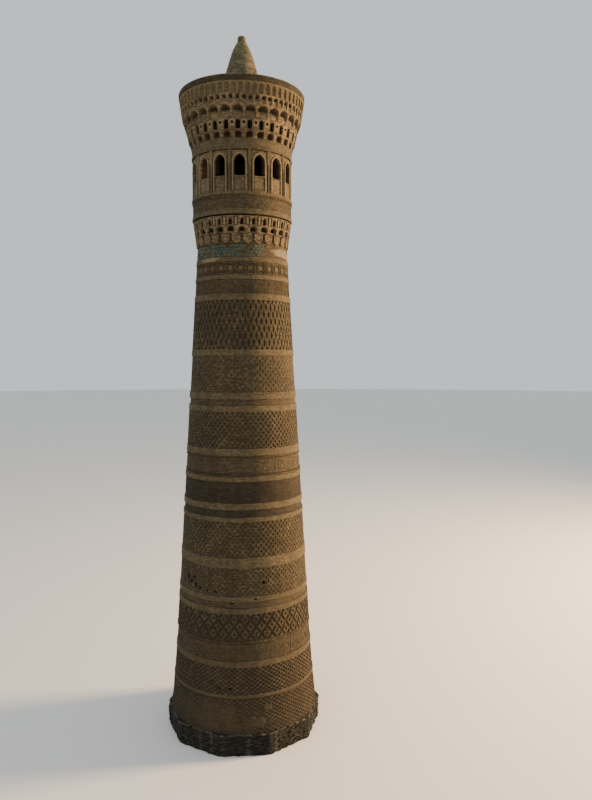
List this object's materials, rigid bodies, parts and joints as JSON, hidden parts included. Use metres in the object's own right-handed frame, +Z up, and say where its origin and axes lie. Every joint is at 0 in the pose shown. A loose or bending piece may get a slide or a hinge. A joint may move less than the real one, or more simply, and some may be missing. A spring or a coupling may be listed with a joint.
{
  "type": "brick minaret, 1:10 scale model",
  "caption": "Tall tapering round brick minaret, a 1:10 scale model: ten-sided plinth, banded patterned shaft, glazed belt, arcaded gallery under a stalactite cornice, and a conical pinnacle.",
  "frame": {"origin": "centre of the plinth's foot, on the ground", "axes": "+Z up along the tower's axis; -Y is the way one gallery window faces; the picture looks at the side about 3 degrees from -Y towards +X"},
  "size_m": [1.0306, 0.9968, 4.55],
  "materials": {
    "shaft_brick": "matte",
    "gallery_brick": "matte",
    "cornice_brick": "matte",
    "plinth_brick": "matte",
    "glazed_tile": "satin",
    "roof_brick": "matte"
  },
  "bodies": {
    "root": {"frieze": "gallery_brick", "gallery_bay_01": "gallery_brick", "gallery_bay_02": "gallery_brick", "gallery_bay_03": "gallery_brick", "gallery_bay_04": "gallery_brick", "gallery_bay_05": "gallery_brick", "gallery_bay_06": "gallery_brick", "gallery_bay_07": "gallery_brick", "gallery_bay_08": "gallery_brick", "gallery_bay_09": "gallery_brick", "gallery_bay_10": "gallery_brick", "gallery_bay_11": "gallery_brick", "gallery_bay_12": "gallery_brick", "gallery_bay_13": "gallery_brick", "gallery_bay_14": "gallery_brick", "gallery_bay_15": "gallery_brick", "gallery_bay_16": "gallery_brick", "gallery_drum": "gallery_brick", "gallery_floor": "gallery_brick", "gallery_parapet": "gallery_brick", "glazed_band": "glazed_tile", "lower_cornice_leaf_ring": "cornice_brick", "lower_cornice_niche_ring": "cornice_brick", "pinnacle_cone": "roof_brick", "pinnacle_knob": "roof_brick", "plinth": "plinth_brick", "roof_vault": "roof_brick", "shaft_drum_01_lower_hatch": "shaft_brick", "shaft_drum_02_cross_hatch": "shaft_brick", "shaft_drum_03_panel_frieze": "shaft_brick", "shaft_drum_04_lozenge": "shaft_brick", "shaft_drum_05_fine_hatch": "shaft_brick", "shaft_drum_06_zigzag": "shaft_brick", "shaft_drum_07_dark_weave": "shaft_brick", "shaft_drum_08_square_panels": "shaft_brick", "shaft_drum_09_diamond": "shaft_brick", "shaft_drum_10_fine_weave": "shaft_brick", "shaft_drum_11_zigzag_relief": "shaft_brick", "shaft_drum_12_key_pattern": "shaft_brick", "shaft_drum_13_medallions": "shaft_brick", "upper_cornice_fringe": "cornice_brick", "upper_cornice_niches": "cornice_brick", "upper_cornice_slots": "cornice_brick", "upper_cornice_stalactites": "cornice_brick"}
  },
  "joints": []
}
